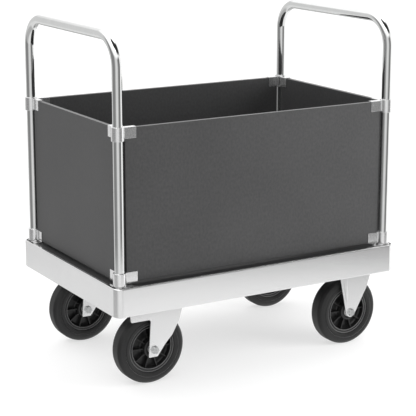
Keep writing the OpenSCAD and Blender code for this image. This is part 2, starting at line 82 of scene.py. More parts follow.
# end frames and the clamps on them
TUBE_WALL = 0.002
BEND_RADIUS = 0.080
COLLAR_WALL = 0.004
COLLAR_HEIGHT = 0.037
CLIP_HEIGHT = 0.028
CLIP_SHEET = 0.002

# wheels: RIM_EDGE and RIM_WEB are half the width of the rim's outer ring and of its web
TYRE_BORE = 0.068
RIM_INNER = 0.058
RIM_EDGE = 0.021
RIM_WEB = 0.004
RIB_COUNT = 10
HUB_RADIUS = 0.026
BUSH_RADIUS = 0.015

# castors: the foot below the axle, the skirt and crown against the tyre's top, the ball seats,
# the king bolt's bores, and how far the wheel trails behind the king bolt
FORK_SHEET = 0.004
FORK_FOOT = 0.020
SKIRT_DROP = 0.014
CROWN_RISE = 0.009
WEB_CLEAR = 0.004
RACE_RADIUS = 0.039
CUP_BORE, CUP_RADIUS, CUP_DROP = 0.041, 0.044, 0.0127
KING_BORE_FORK, KING_BORE_PLATE = 0.00805, 0.0083
TRAIL = 0.048
BRACKET_TIP = 0.015
PLATE_CORNER = 0.008

# castor bolts' places from the plate's middle, and the axle bolts
BOLT_X, BOLT_Y = 0.0525, 0.043
BOLT_HOLE = 0.0051
AXLE_RADIUS = 0.006
AXLE_TAIL = 0.015
ACROSS_FLATS = 0.019
HEAD_HEIGHT, NUT_HEIGHT = 0.0075, 0.011
WASHER_FACE = 0.0006


# ---------------------------------------------------------------- materials

class Shader:
    """A Principled material whose textures are placed in object space, in metres."""

    def __init__(self, name, metallic, roughness):
        self.material = bpy.data.materials.new(name)
        self.material.use_nodes = True
        self.tree = self.material.node_tree
        self.principled = self.tree.nodes["Principled BSDF"]
        self.set("Metallic", metallic)
        self.set("Roughness", roughness)
        self.place = self.tree.nodes.new("ShaderNodeTexCoord").outputs["Object"]

    def follow(self, attribute):
        """Takes the texture place from a mesh attribute instead."""
        node = self.tree.nodes.new("ShaderNodeAttribute")
        node.attribute_name = attribute
        self.place = node.outputs["Vector"]

    def set(self, socket, value):
        self.principled.inputs[socket].default_value = value

    def link(self, output, socket):
        self.tree.links.new(output, self.principled.inputs[socket])

    def stretched(self, scale):
        """The texture place scaled by three factors."""
        node = self.tree.nodes.new("ShaderNodeMapping")
        node.inputs["Scale"].default_value = scale
        self.tree.links.new(self.place, node.inputs["Vector"])
        return node.outputs["Vector"]

    def noise(self, scale, detail, stretch=(1, 1, 1)):
        node = self.tree.nodes.new("ShaderNodeTexNoise")
        node.inputs["Scale"].default_value = scale
        node.inputs["Detail"].default_value = detail
        self.tree.links.new(self.stretched(stretch), node.inputs["Vector"])
        return node.outputs["Fac"]

    def cells(self, scale):
        """One random grey per Voronoi cell, as on galvanised steel."""
        node = self.tree.nodes.new("ShaderNodeTexVoronoi")
        node.inputs["Scale"].default_value = scale
        self.tree.links.new(self.place, node.inputs["Vector"])
        grey = self.tree.nodes.new("ShaderNodeRGBToBW")
        self.tree.links.new(node.outputs["Color"], grey.inputs["Color"])
        return grey.outputs["Val"]

    def ramp(self, factor, stops):
        node = self.tree.nodes.new("ShaderNodeValToRGB")
        ramp = node.color_ramp
        while len(ramp.elements) < len(stops):
            ramp.elements.new(0.5)
        for element, (position, colour) in zip(ramp.elements, stops):
            element.position = position
            element.color = (*colour, 1)
        self.tree.links.new(factor, node.inputs["Fac"])
        return node.outputs["Color"]

    def spread(self, factor, low, high):
        """factor from 0 to 1, mapped to low to high."""
        node = self.tree.nodes.new("ShaderNodeMapRange")
        node.inputs["To Min"].default_value = low
        node.inputs["To Max"].default_value = high
        self.tree.links.new(factor, node.inputs["Value"])
        return node.outputs["Result"]

    def mixed(self, first, second, share):
        """first, with that share of second in it."""
        node = self.tree.nodes.new("ShaderNodeMix")
        node.data_type = "FLOAT"
        node.inputs["Factor"].default_value = share
        self.tree.links.new(first, node.inputs["A"])
        self.tree.links.new(second, node.inputs["B"])
        return node.outputs["Result"]

    def bump(self, height, distance, strength):
        node = self.tree.nodes.new("ShaderNodeBump")
        node.inputs["Distance"].default_value = distance
        node.inputs["Strength"].default_value = strength
        self.tree.links.new(height, node.inputs["Height"])
        self.link(node.outputs["Normal"], "Normal")


def galvanised(name, tone, roughness):
    """Zinc-coated sheet: faint crystals, fine grain and a cloudy sheen."""
    s = Shader(name, 0.9, roughness)
    crystals = s.cells(95)
    cloud = s.noise(7, 4)
    grain = s.noise(900, 2)
    blend = s.mixed(crystals, cloud, 0.7)
    low, high = tone * 0.97, min(1.0, tone * 1.02)
    s.link(s.ramp(blend, [(0.25, (low, low, low * 1.004)), (0.75, (high, high, high))]),
           "Base Color")
    s.link(s.spread(s.mixed(blend, grain, 0.3), roughness - 0.02, roughness + 0.03), "Roughness")
    s.bump(s.mixed(grain, crystals, 0.35), 0.00001, 0.25)
    return s.material


def bright_tube():
    """Bright zinc on drawn tube: fine lines along the tube and small marks."""
    s = Shader("bright_zinc_tube", 1.0, 0.08)
    s.follow(TUBE_PLACE)
    lines = s.noise(60, 3, (14, 14, 0.4))
    marks = s.noise(30, 4)
    s.link(s.ramp(s.mixed(lines, marks, 0.6), [(0.3, (0.83, 0.84, 0.835)),
                                              (0.7, (0.89, 0.895, 0.89))]), "Base Color")
    s.link(s.spread(s.mixed(lines, marks, 0.5), 0.04, 0.10), "Roughness")
    s.bump(lines, 0.000002, 0.1)
    return s.material


def laminate(name, tone, roughness):
    """Dark grey laminated board with a fine pressed texture."""
    s = Shader(name, 0.0, roughness)
    fine = s.noise(1400, 2)
    weave = s.noise(170, 4, (1, 1, 0.7))
    cloud = s.noise(5, 3)
    grey = s.mixed(s.mixed(fine, weave, 0.7), cloud, 0.2)
    low, high = tone * 0.72, tone * 1.32
    s.link(s.ramp(grey, [(0.3, (low, low, low * 1.02)), (0.7, (high, high, high * 1.01))]),
           "Base Color")
    s.link(s.spread(weave, roughness - 0.05, roughness + 0.07), "Roughness")
    s.bump(s.mixed(fine, weave, 0.6), 0.00006, 0.5)
    return s.material


def moulded(name, tone, roughness, grain_scale):
    """Moulded plastic or rubber: fine pores, soft blotches and a little dust."""
    s = Shader(name, 0.0, roughness)
    pores = s.noise(grain_scale, 2)
    dust = s.noise(24, 5)
    s.link(s.ramp(dust, [(0.35, (tone, tone, tone * 1.04)),
                         (0.8, (tone * 1.7, tone * 1.7, tone * 1.65))]), "Base Color")
    s.link(s.spread(s.mixed(pores, dust, 0.5), roughness - 0.08, roughness + 0.1), "Roughness")
    s.bump(pores, 0.00008, 0.35)
    return s.material


def turned_steel():
    """Zinc-plated fasteners: slight colour change and fine machining."""
    s = Shader("plated_fastener", 1.0, 0.28)
    tint = s.noise(160, 3)
    s.link(s.ramp(tint, [(0.3, (0.58, 0.59, 0.59)), (0.7, (0.72, 0.73, 0.73))]), "Base Color")
    s.link(s.spread(s.noise(700, 2), 0.2, 0.36), "Roughness")
    s.bump(s.noise(1100, 2), 0.00001, 0.3)
    return s.material


DECK = galvanised("galvanised_deck", 0.87, 0.13)
UNDERFRAME = galvanised("galvanised_underframe", 0.62, 0.42)
CASTOR = galvanised("zinc_castor_pressing", 0.88, 0.18)
CLAMP = galvanised("zinc_clamp", 0.88, 0.12)
TUBE = bright_tube()
PANEL = laminate("panel_laminate", 0.051, 0.45)
# lighter laminate for the boards' top and bottom faces: painted light, standing in for light
# falling on the top edges
PANEL_EDGE_PAINTED_LIGHT = laminate("panel_edge_painted_light", 0.085, 0.4)
BOARD = laminate("deck_board_laminate", 0.03, 0.5)
TYRE = moulded("tyre_rubber", 0.010, 0.48, 900)
# lighter, glossier rubber for a thin shoulder line and a sidewall ring: painted highlight standing
# in for light caught by these ridges
TYRE_PAINTED_HIGHLIGHT = moulded("tyre_painted_highlight", 0.10, 0.3, 900)
RIM = moulded("rim_plastic", 0.010, 0.34, 1500)
# much lighter plastic on the rim's edge beads: painted highlight standing in for light caught by
# the bead rings
RIM_BEAD_PAINTED_HIGHLIGHT = moulded("rim_bead_painted_highlight", 0.12, 0.28, 1500)
NYLON = moulded("bush_nylon", 0.42, 0.45, 1200)
FASTENER = turned_steel()

SLOT_MATERIALS = {
    "deck_steel": DECK, "underframe_steel": UNDERFRAME, "tube_zinc": TUBE, "clamp_zinc": CLAMP,
    "castor_zinc": CASTOR, "fastener_zinc": FASTENER, "panel_board": PANEL, "deck_board": BOARD,
    "rim_plastic": RIM, "tyre_rubber": TYRE, "bush_nylon": NYLON,
}
SLOT_OF = {part["node"]: part["material_slot"] for part in frame["record"]["subparts"]}
BODY_OF = {node: body for body, nodes in frame["record"]["behaviour"]["bodies"].items()
           for node in nodes}

for node_name, cad_object in frame["nodes"].items():
    for material_slot in cad_object.material_slots:
        material_slot.material = SLOT_MATERIALS[SLOT_OF[node_name]]


# ---------------------------------------------------------------- mesh tools

def make_object(name, mesh, material, smooth_angle=35):
    """Object with smooth shading that keeps flat faces flat and edges past the angle sharp."""
    piece = bpy.data.objects.new(name, mesh)
    bpy.context.scene.collection.objects.link(piece)
    if not mesh.materials:
        mesh.materials.append(material)
    mesh.shade_smooth()
    mesh.set_sharp_from_angle(angle=math.radians(smooth_angle))
    shading = piece.modifiers.new("shading", "WEIGHTED_NORMAL")
    shading.keep_sharp = True
    return piece


def mesh_from(points, faces):
    mesh = bpy.data.meshes.new("part")
    mesh.from_pydata([tuple(p) for p in points], [], faces)
    mesh.update()
    return mesh


def clean(mesh):
    """Welds doubled points and turns every face outwards."""
    work = bmesh.new()
    work.from_mesh(mesh)
    bmesh.ops.remove_doubles(work, verts=work.verts, dist=0.00001)
    bmesh.ops.recalc_face_normals(work, faces=work.faces)
    work.to_mesh(mesh)
    work.free()
    return mesh


def arc_angles(turn, steps, first=0):
    """Angles from 0 to turn in equal steps, leaving out those before the first."""
    return [turn * k / steps for k in range(first, steps + 1)]


def circle_points(radius, steps, centre=(0, 0)):
    return [(centre[0] + radius * math.cos(a), centre[1] + radius * math.sin(a))
            for a in arc_angles(2 * math.pi, steps)[:-1]]


def rounded(points, radius, steps):
    """Outline whose corners are rounded; radius is one value or one for each corner."""
    radii = radius if isinstance(radius, (list, tuple)) else [radius] * len(points)
    out = []
    for i, point in enumerate(points):
        here = Vector(point)
        before = (Vector(points[i - 1]) - here).normalized()
        after = (Vector(points[(i + 1) % len(points)]) - here).normalized()
        half = before.angle(after) / 2
        if radii[i] <= 0 or half > math.radians(88):
            out.append(tuple(here))
            continue
        reach = radii[i] / math.tan(half)
        centre = here + (before + after).normalized() * (radii[i] / math.sin(half))
        first, last = here + before * reach - centre, here + after * reach - centre
        for a in arc_angles(-first.angle_signed(last), steps):
            out.append(tuple(centre + Matrix.Rotation(a, 2) @ first))
    return out


def rectangle(length, width, radius, centre=(0, 0), steps=6):
    """Rectangle with rounded corners."""
    x, y = length / 2, width / 2
    corners = [(centre[0] + a * x, centre[1] + b * y)
               for a, b in ((-1, -1), (1, -1), (1, 1), (-1, 1))]
    return rounded(corners, radius, steps)


def plate(outlines, low, high, edge):
    """Flat sheet from closed outlines (the first outside, the rest holes), with rounded edges."""
    curve = bpy.data.curves.new("plate", "CURVE")
    curve.dimensions = "2D"
    curve.fill_mode = "BOTH"
    curve.bevel_resolution = 2
    curve.bevel_depth = edge
    curve.offset = -edge
    curve.extrude = (high - low) / 2 - edge
    for outline in outlines:
        spline = curve.splines.new("POLY")
        spline.points.add(len(outline) - 1)
        for point, place in zip(spline.points, outline):
            point.co = (*place, 0, 1)
        spline.use_cyclic_u = True
    holder = bpy.data.objects.new("plate", curve)
    bpy.context.scene.collection.objects.link(holder)
    bpy.context.view_layer.update()
    mesh = bpy.data.meshes.new_from_object(holder.evaluated_get(
        bpy.context.evaluated_depsgraph_get()))
    bpy.data.objects.remove(holder)
    bpy.data.curves.remove(curve)
    mesh.materials.clear()
    mesh.transform(Matrix.Translation((0, 0, (low + high) / 2)))
    return clean(mesh)


def closed_rings(points, total, count):
    """Mesh of total rings with count points each; every ring and the row of rings are closed."""
    faces = []
    for i in range(total):
        a, b = i * count, (i + 1) % total * count
        for k in range(count):
            n = (k + 1) % count
            faces.append((a + k, b + k, b + n, a + n))
    return clean(mesh_from(points, faces))


def lathe(profile, steps):
    """Closed profile of (radius, height) turned round Z."""
    points = []
    for i in range(steps):
        c, s = math.cos(2 * math.pi * i / steps), math.sin(2 * math.pi * i / steps)
        points += [(r * c, r * s, h) for r, h in profile]
    return closed_rings(points, steps, len(profile))


def sweep(path, section):
    """Section of (side, up) points swept along a closed level path of (x, y) points.

    Side is to the right of the way along the path.
    """
    points = []
    total = len(path)
    for i in range(total):
        here = Vector(path[i])
        before = (here - Vector(path[i - 1])).normalized()
        after = (Vector(path[(i + 1) % total]) - here).normalized()
        right = Vector((before.y + after.y, -before.x - after.x)).normalized()
        stretch = 1 / max(0.5, right.dot(Vector((after.y, -after.x))))
        for side, up in section:
            place = here + right * side * stretch
            points.append((place.x, place.y, up))
    return closed_rings(points, total, len(section))


def join(meshes):
    """One mesh from several, each with its own list of materials kept."""
    work = bmesh.new()
    materials = []
    for mesh in meshes:
        first_face = len(work.faces)
        work.from_mesh(mesh)
        work.faces.ensure_lookup_table()
        index_of = []
        for material in list(mesh.materials) or [None]:
            if material not in materials:
                materials.append(material)
            index_of.append(materials.index(material))
        for face in work.faces[first_face:]:
            face.material_index = index_of[min(face.material_index, len(index_of) - 1)]
    whole = bpy.data.meshes.new("part")
    work.to_mesh(whole)
    work.free()
    for material in materials:
        if material is not None:
            whole.materials.append(material)
    return whole


def along_y(mesh, x, y, z):
    """Turns a mesh made round Z so that Z runs along -Y, and puts it at an axle."""
    mesh.transform(Matrix.Translation((x, y, z)) @ Matrix.Rotation(math.radians(90), 4, "X"))
    return mesh


def moved(mesh, x=0.0, y=0.0, z=0.0):
    """The mesh itself, moved."""
    mesh.transform(Matrix.Translation((x, y, z)))
    return mesh


def corner_mirror(mesh, side, face):
    """Mirrors a mesh made for the front left corner to the corner at side and face."""
    mesh.transform(Matrix.Diagonal((side, face, 1, 1)))
    if side * face < 0:
        mesh.flip_normals()
    return mesh


def fit_out(piece, *nodes):
    """The piece stands for CAD nodes and rides on their body."""
    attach(piece, BODY_OF[nodes[0]])
    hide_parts(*nodes)
    return piece


def centre_of(node):
    """Middle of a CAD node's box."""
    low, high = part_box(node)
    return (low + high) / 2


# ---------------------------------------------------------------- deck

deck_low, deck_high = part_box("deck_frame")
board_low, board_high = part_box("deck_board")
frame_low, frame_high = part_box("end_frame_left")
LENGTH, WIDTH = deck_high.x - deck_low.x, deck_high.y - deck_low.y
TUBE_RADIUS = (frame_high.x - frame_low.x) / 2
TUBE_X = -(frame_low.x + TUBE_RADIUS)
TUBE_Y = frame_high.y - TUBE_RADIUS


def board_outline(grow, radius):
    """Board opening: a rectangle with a square notch at each corner."""
    x, y = LENGTH / 2 - RIM_WIDTH + grow, WIDTH / 2 - RIM_WIDTH + grow
    nx, ny = LENGTH / 2 - CORNER_PLATE + grow, WIDTH / 2 - CORNER_PLATE + grow
    points = [(-nx, -y), (nx, -y), (nx, -ny), (x, -ny), (x, ny), (nx, ny),
              (nx, y), (-nx, y), (-nx, ny), (-x, ny), (-x, -ny), (-nx, -ny)]
    return rounded(points, radius, 4)


def deck_frame():
    """Folded side with soft bends, top rim with corner plates, and the return lip."""
    top, low = deck_high.z, deck_low.z
    bend, inner_bend = FOLD_RADIUS, FOLD_RADIUS - SHEET
    outline = rectangle(LENGTH, WIDTH, CORNER_RADIUS, steps=14)
    quarter = arc_angles(math.pi / 2, 4)
    outer = [(-bend * (1 - math.sin(a)), low + bend * (1 - math.cos(a))) for a in quarter]
    inner = [(-bend + inner_bend * math.sin(a), low + bend - inner_bend * math.cos(a))
             for a in quarter]
    upper = [(-bend * (1 - math.cos(a)), top - bend * (1 - math.sin(a))) for a in quarter]
    section = [(-RETURN_LIP, low), *outer, *upper, (-RIM_WIDTH, top), (-RIM_WIDTH, top - SHEET),
               (-SHEET - bend, top - SHEET), (-SHEET, top - SHEET - bend), *inner[::-1],
               (-RETURN_LIP, low + SHEET)]
    sides = sweep(outline, section)
    plates = []
    for side in (-1, 1):
        for face in (-1, 1):
            corner = [(-LENGTH / 2 + bend, -WIDTH / 2 + bend),
                      (-LENGTH / 2 + CORNER_PLATE, -WIDTH / 2 + bend),
                      (-LENGTH / 2 + CORNER_PLATE, -WIDTH / 2 + CORNER_PLATE),
                      (-LENGTH / 2 + bend, -WIDTH / 2 + CORNER_PLATE)]
            shape = rounded(corner, [CORNER_RADIUS - bend, 0.0008, 0.004, 0.0008], 10)
            hole = circle_points(TUBE_RADIUS + FIT, 40, (-TUBE_X, -TUBE_Y))
            plates.append(corner_mirror(plate([shape, hole], top - SHEET, top, 0.0004),
                                        side, face))
    mesh = join([sides] + plates)
    mesh.materials.append(DECK)
    return fit_out(make_object("deck_frame_sheet", mesh, DECK), "deck_frame")


def board_ledge():
    """Angle strip round the board opening."""
    low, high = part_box("board_ledge")
    inside = -SHEET - LEDGE_WIDTH
    section = [(0, high.z), (0, low.z), (inside, low.z), (inside, low.z + SHEET),
               (-SHEET, low.z + SHEET), (-SHEET, high.z)]
    mesh = sweep(board_outline(SHEET, 0.0), section)
    return fit_out(make_object("board_ledge_angle", mesh, DECK), "board_ledge")


def deck_board():
    """Board in the opening, with a thin gap all round."""
    mesh = plate([board_outline(-FIT, 0.0006)], board_low.z, board_high.z, 0.0006)
    return fit_out(make_object("deck_board_panel", mesh, BOARD), "deck_board")


# ---------------------------------------------------------------- end frames

def bent_tube(side):
    """Tube with two round bends and a thin wall, open below."""
    node = f"end_frame_{side}"
    low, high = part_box(node)
    x = (low.x + high.x) / 2
    bar_z, bar_half = high.z - TUBE_RADIUS, TUBE_Y - BEND_RADIUS
    path = [Vector((x, -TUBE_Y, low.z)), Vector((x, -TUBE_Y, bar_z - BEND_RADIUS))]
    for a in arc_angles(math.pi / 2, 20, 1):
        path.append(Vector((x, -bar_half - BEND_RADIUS * math.cos(a),
                            bar_z - BEND_RADIUS + BEND_RADIUS * math.sin(a))))
    path += [Vector((p.x, -p.y, p.z)) for p in reversed(path)]
    segments = 40
    points, places, along = [], [], 0.0
    for i, here in enumerate(path):
        ahead = path[min(i + 1, len(path) - 1)] - here
        behind = here - path[max(i - 1, 0)]
        along += behind.length
        way = (ahead.normalized() + behind.normalized()).normalized()
        across = way.cross(Vector((1, 0, 0))).normalized()
        for radius in (TUBE_RADIUS, TUBE_RADIUS - TUBE_WALL):
            for k in range(segments):
                a = 2 * math.pi * k / segments
                round_x, round_y = radius * math.cos(a), radius * math.sin(a)
                points.append(here + round_x * Vector((1, 0, 0)) + round_y * across)
                places.append((round_x, round_y, along))
    faces = []
    for k in range(segments):
        n = (k + 1) % segments
        for i in range(len(path) - 1):
            a, b = 2 * i * segments, 2 * (i + 1) * segments
            faces.append((a + k, a + n, b + n, b + k))
            a, b = a + segments, b + segments
            faces.append((a + k, b + k, b + n, a + n))
        last = 2 * (len(path) - 1) * segments
        faces.append((k, segments + k, segments + n, n))
        faces.append((last + k, last + n, last + segments + n, last + segments + k))
    mesh = mesh_from(points, faces)
    kept = mesh.attributes.new(TUBE_PLACE, "FLOAT_VECTOR", "POINT")
    for value, place in zip(kept.data, places):
        value.vector = place
    return fit_out(make_object(f"{node}_tube", mesh, TUBE), node)


# ---------------------------------------------------------------- side boards

def side_board(name):
    """Board with small rounded edges; its faces pointing up and down get a lighter tone, which is
    painted light for the top edges lit from above.
    """
    low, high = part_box(f"panel_{name}")
    size = high - low
    thin, long_way = sorted((size.x, size.y))
    mesh = plate([rectangle(long_way, size.z, 0.0015, steps=3)], -thin / 2, thin / 2, 0.0009)
    mesh.transform(Matrix.Rotation(math.radians(90), 4, "X"))
    if size.y > size.x:
        mesh.transform(Matrix.Rotation(math.radians(90), 4, "Z"))
    mesh.transform(Matrix.Translation((low + high) / 2))
    mesh.materials.append(PANEL)
    mesh.materials.append(PANEL_EDGE_PAINTED_LIGHT)
    # faces pointing up or down get the lighter tone: painted light on the top edges
    for polygon in mesh.polygons:
        polygon.material_index = 1 if abs(polygon.normal.z) > 0.5 else 0
    return fit_out(make_object(f"panel_{name}_board", mesh, PANEL), f"panel_{name}")


# ---------------------------------------------------------------- corner clamps

panel_low, panel_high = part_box("panel_front")
CLIP_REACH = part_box("clamp_upper_front_left")[1].x + TUBE_X


def clip_mesh():
    """U-shaped clip along +X over a board's top edge at z = 0, with a soft bend on each side."""
    thickness = panel_high.y - panel_low.y
    outer, inner = -FIT - CLIP_SHEET, thickness + FIT + CLIP_SHEET
    top, bend = FIT + CLIP_SHEET, 0.0018
    across = rounded([(outer, -CLIP_HEIGHT), (outer, top), (inner, top), (inner, -CLIP_HEIGHT),
                      (inner - CLIP_SHEET, -CLIP_HEIGHT), (inner - CLIP_SHEET, FIT),
                      (-FIT, FIT), (-FIT, -CLIP_HEIGHT)],
                     [0.0005, bend, bend, 0.0005, 0.0005, 0.0004, 0.0004, 0.0005], 4)
    mesh = plate([across], TUBE_RADIUS + 0.001, CLIP_REACH, 0.0006)
    # the plate is made in XY with Z as its thickness: send its X to Y, Y to Z and Z to X
    mesh.transform(Matrix(((0, 0, 1, 0), (1, 0, 0, 0), (0, 1, 0, 0), (0, 0, 0, 1))))
    return mesh


def clamp(level, corner):
    """Round collar on the tube with a clip for each board."""
    node = f"clamp_{level}_{corner}"
    low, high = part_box(node)
    bore = TUBE_RADIUS + FIT
    collar, soft = bore + COLLAR_WALL, 0.0012
    # drawn for the upper front left corner with the board's top edge at z = 0
    if level == "upper":
        collar_high = high.z - panel_high.z
    else:
        collar_high = panel_low.z - low.z
    collar_low = collar_high - COLLAR_HEIGHT
    ring = lathe(rounded([(bore, collar_low), (collar, collar_low),
                          (collar, collar_high), (bore, collar_high)],
                         [0.0004, soft, soft, 0.0004], 4), 64)
    clip = clip_mesh()
    other = clip.copy()
    other.transform(Matrix(((0, 1, 0, 0), (1, 0, 0, 0), (0, 0, 1, 0), (0, 0, 0, 1))))
    other.flip_normals()
    mesh = join([ring, clip, other])
    if level == "lower":
        mesh.transform(Matrix.Diagonal((1, 1, -1, 1)))
        mesh.flip_normals()
    moved(mesh, -TUBE_X, -TUBE_Y, panel_high.z if level == "upper" else panel_low.z)
    side = -1 if corner.endswith("right") else 1
    face = -1 if corner.startswith("rear") else 1
    corner_mirror(mesh, side, face)
    return fit_out(make_object(f"{node}_body", mesh, CLAMP), node)


# ---------------------------------------------------------------- wheels

def tyre(corner):
    """Rubber ring with a rounded tread, a shoulder groove and fine sidewall rings; a lighter tone
    on the shoulder and on one sidewall ring is a painted highlight.
    """
    node = f"tyre_{corner}"
    low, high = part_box(node)
    radius, half = (high.z - low.z) / 2, (high.y - low.y) / 2
    soft, ring = 0.015, 0.0806
    centre = radius - soft
    shoulder = [(centre + soft * math.cos(a), half - soft + soft * math.sin(a))
                for a in arc_angles(math.pi / 2, 8)[:-1]]
    line, groove = shoulder[2], shoulder[3]
    shoulder[3] = (groove[0] - 0.0011, groove[1] - 0.0007)
    sidewall = [(centre, half), (ring, half), (ring - 0.0006, half - 0.0011),
                (ring - 0.0020, half - 0.0013), (ring - 0.0030, half - 0.0001),
                (ring - 0.0040, half), (ring - 0.0076, half - 0.0002),
                (TYRE_BORE + 0.0025, half - 0.0014), (TYRE_BORE + 0.0008, half - 0.0016),
                (TYRE_BORE, half - 0.0026)]
    upper = [(radius, half - soft - 0.0006)] + shoulder + sidewall
    mesh = lathe(upper + [(r, -h) for r, h in reversed(upper)], 128)
    mesh.materials.append(TYRE)
    mesh.materials.append(TYRE_PAINTED_HIGHLIGHT)
    # faces on the shoulder line and on the sidewall ring get the lighter tone: painted highlight
    for polygon in mesh.polygons:
        place = Vector((polygon.center.xy.length, abs(polygon.center.z)))
        if (place - Vector(line)).length < 0.0013 or abs(place.x - ring + 0.0002) < 0.0004:
            polygon.material_index = 1
    along_y(mesh, *centre_of(node))
    return fit_out(make_object(f"{node}_rubber", mesh, TYRE, 50), node)


def bead(centre, width, rise):
    """Half-round ridge on the rim's edge, from the outside in."""
    return [(centre + width / 2 * math.cos(a), RIM_EDGE - 0.001 + rise * math.sin(a))
            for a in arc_angles(math.pi, 6)]


def rim(corner):
    """Moulded rim: hub, web, two edge rings and slim radial ribs with tapered ends; the edge rings'
    faces get a lighter tone, which is a painted highlight.
    """
    node = f"rim_{corner}"
    low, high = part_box(node)
    hub = (high.y - low.y) / 2
    edge = [(TYRE_BORE, RIM_EDGE - 0.002), *bead(0.0664, 0.0026, 0.0022),
            *bead(0.0592, 0.0022, 0.0020), (RIM_INNER - 0.0004, RIM_EDGE - 0.003)]
    web = [(RIM_INNER - 0.0015, RIM_WEB + 0.003), (RIM_INNER - 0.005, RIM_WEB),
           (HUB_RADIUS + 0.005, RIM_WEB), (HUB_RADIUS + 0.001, RIM_WEB + 0.003)]
    hub_face = [(HUB_RADIUS - 0.001, hub - 0.0025), (HUB_RADIUS - 0.003, hub - 0.0008),
                (0.0205, hub - 0.0004), (0.0195, hub - 0.0024),
                (BUSH_RADIUS + 0.0012, hub - 0.0024), (BUSH_RADIUS, hub - 0.0012)]
    upper = edge + web + hub_face
    mesh = lathe(upper + [(r, -h) for r, h in reversed(upper)], 96)
    mesh.materials.append(RIM)
    mesh.materials.append(RIM_BEAD_PAINTED_HIGHLIGHT)
    # faces on the rim's outer edge get the lighter tone: painted highlight on the beads
    for polygon in mesh.polygons:
        if abs(polygon.center.z) > RIM_EDGE - 0.0008 and polygon.center.xy.length > RIM_INNER:
            polygon.material_index = 1
    rib = [(HUB_RADIUS - 0.001, RIM_WEB - 0.001), (HUB_RADIUS - 0.0005, RIM_EDGE - 0.002),
           (HUB_RADIUS + 0.010, 0.0168), (RIM_INNER - 0.0005, 0.0172),
           (RIM_INNER + 0.0005, RIM_WEB)]
    ribs = []
    for i in range(RIB_COUNT):
        for way in (-1, 1):
            part = plate([[(r, way * h) for r, h in rib][::way]], -0.0016, 0.0016, 0.0006)
            part.transform(Matrix.Rotation(2 * math.pi * i / RIB_COUNT, 4, "Z")
                           @ Matrix.Rotation(math.radians(90), 4, "X"))
            part.materials.append(RIM)
            ribs.append(part)
    mesh = along_y(join([mesh] + ribs), *centre_of(node))
    return fit_out(make_object(f"{node}_moulding", mesh, RIM, 40), node)


# ---------------------------------------------------------------- castors

FORK_HALF = (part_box("fork_front_left")[1].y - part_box("fork_front_left")[0].y) / 2


def leg_plate(outline, y, axle):
    """Leg in the XZ plane, drawn from an outline measured from the axle."""
    low, high = y - FORK_SHEET / 2, y + FORK_SHEET / 2
    mesh = plate([outline, circle_points(AXLE_RADIUS + FIT, 28)], low, high, 0.0009)
    mesh.transform(Matrix.Diagonal((1, 1, -1, 1)))
    mesh.flip_normals()
    return along_y(mesh, axle.x, 0, axle.z)


def legs(outline, middle, axle):
    """The two legs beside the wheel."""
    return [leg_plate(outline, middle + way * (FORK_HALF - FORK_SHEET / 2), axle)
            for way in (-1, 1)]


def top_plate(low, high):
    """Bolted plate of a castor, with its four bolt holes, at the top of the box low to high."""
    centre = ((low.x + high.x) / 2, (low.y + high.y) / 2)
    holes = [circle_points(BOLT_HOLE, 20, (centre[0] + a * BOLT_X, centre[1] + b * BOLT_Y))
             for a in (-1, 1) for b in (-1, 1)]
    return plate([rectangle(high.x - low.x, high.y - low.y, PLATE_CORNER, centre)] + holes,
                 high.z - FORK_SHEET, high.z, 0.0009)


def trough_section(half, inward):
    """(distance back from the front, y) from one leg to the other round the fork's front."""
    turn_radius, steps = 0.011, 8
    quarter = arc_angles(math.pi / 2, steps)
    out = []
    for way, angles in ((-1, quarter), (1, quarter[::-1])):
        for a in angles:
            across = (half - inward) - (turn_radius - inward) * (1 - math.cos(a))
            out.append((turn_radius * (1 - math.sin(a)), way * across))
    return out


def fork_web(low, high, half, middle):
    """Front of the fork: a rounded trough between the legs, from the low to the high (x, z)."""
    points = []
    for back, inward in ((0.0, 0.0), (FORK_SHEET, FORK_SHEET)):
        for along, y in trough_section(half, inward):
            points += [(x - back - along, middle + y, z) for x, z in (low, high)]
    count = len(points) // 4
    faces = []
    for k in range(count - 1):
        a, b = 2 * k, 2 * (k + 1)
        c, d = 2 * count + a, 2 * count + b
        faces += [(a, a + 1, b + 1, b), (c, d, d + 1, c + 1),
                  (a, b, d, c), (a + 1, c + 1, d + 1, b + 1)]
    for k in (0, 2 * (count - 1)):
        faces.append((k, 2 * count + k, 2 * count + k + 1, k + 1))
    return clean(mesh_from(points, faces))


def fork(corner):
    """Pressed swivel fork: crown, two legs, front web, and the lower ball seat."""
    node = f"fork_{corner}"
    low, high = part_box(node)
    axle = centre_of(f"tyre_{corner}")
    middle = (low.y + high.y) / 2
    wheel = (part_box(f"tyre_{corner}")[1].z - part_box(f"tyre_{corner}")[0].z) / 2
    top = wheel + CROWN_RISE
    back, front = low.x - axle.x, high.x - axle.x
    web = (wheel + WEB_CLEAR) * math.sin(math.radians(45))
    skirt = wheel - SKIRT_DROP
    outline = rounded([(back + 0.002, top), (back + 0.005, skirt), (-0.011, skirt),
                       (-0.018, -FORK_FOOT), (0.009, -FORK_FOOT), (0.033, 0.012),
                       (0.055, 0.035), (web + 0.003, web), (front - 0.0005, top)],
                      [0.0008, 0.0025, 0.006, 0.003, 0.004, 0.012, 0.02, 0.004, 0.0008], 6)
    crown = plate([rectangle(front - back, 2 * FORK_HALF, 0.012,
                             (axle.x + (front + back) / 2, middle), 8)],
                  axle.z + top - FORK_SHEET, axle.z + top, 0.0015)
    trough = fork_web((axle.x + web + FORK_SHEET, axle.z + web),
                      (axle.x + front, axle.z + top - 0.001), FORK_HALF, middle)
    seat_z = axle.z + top - 0.0005
    seat = lathe(rounded([(KING_BORE_FORK, seat_z), (RACE_RADIUS, seat_z),
                          (RACE_RADIUS - 0.002, high.z), (KING_BORE_FORK, high.z)],
                         [0, 0.001, 0.0015, 0.0004], 4), 64)
    parts = legs(outline, middle, axle) + [crown, trough, moved(seat, axle.x + TRAIL, middle)]
    return fit_out(make_object(f"{node}_pressing", join(parts), CASTOR), node)


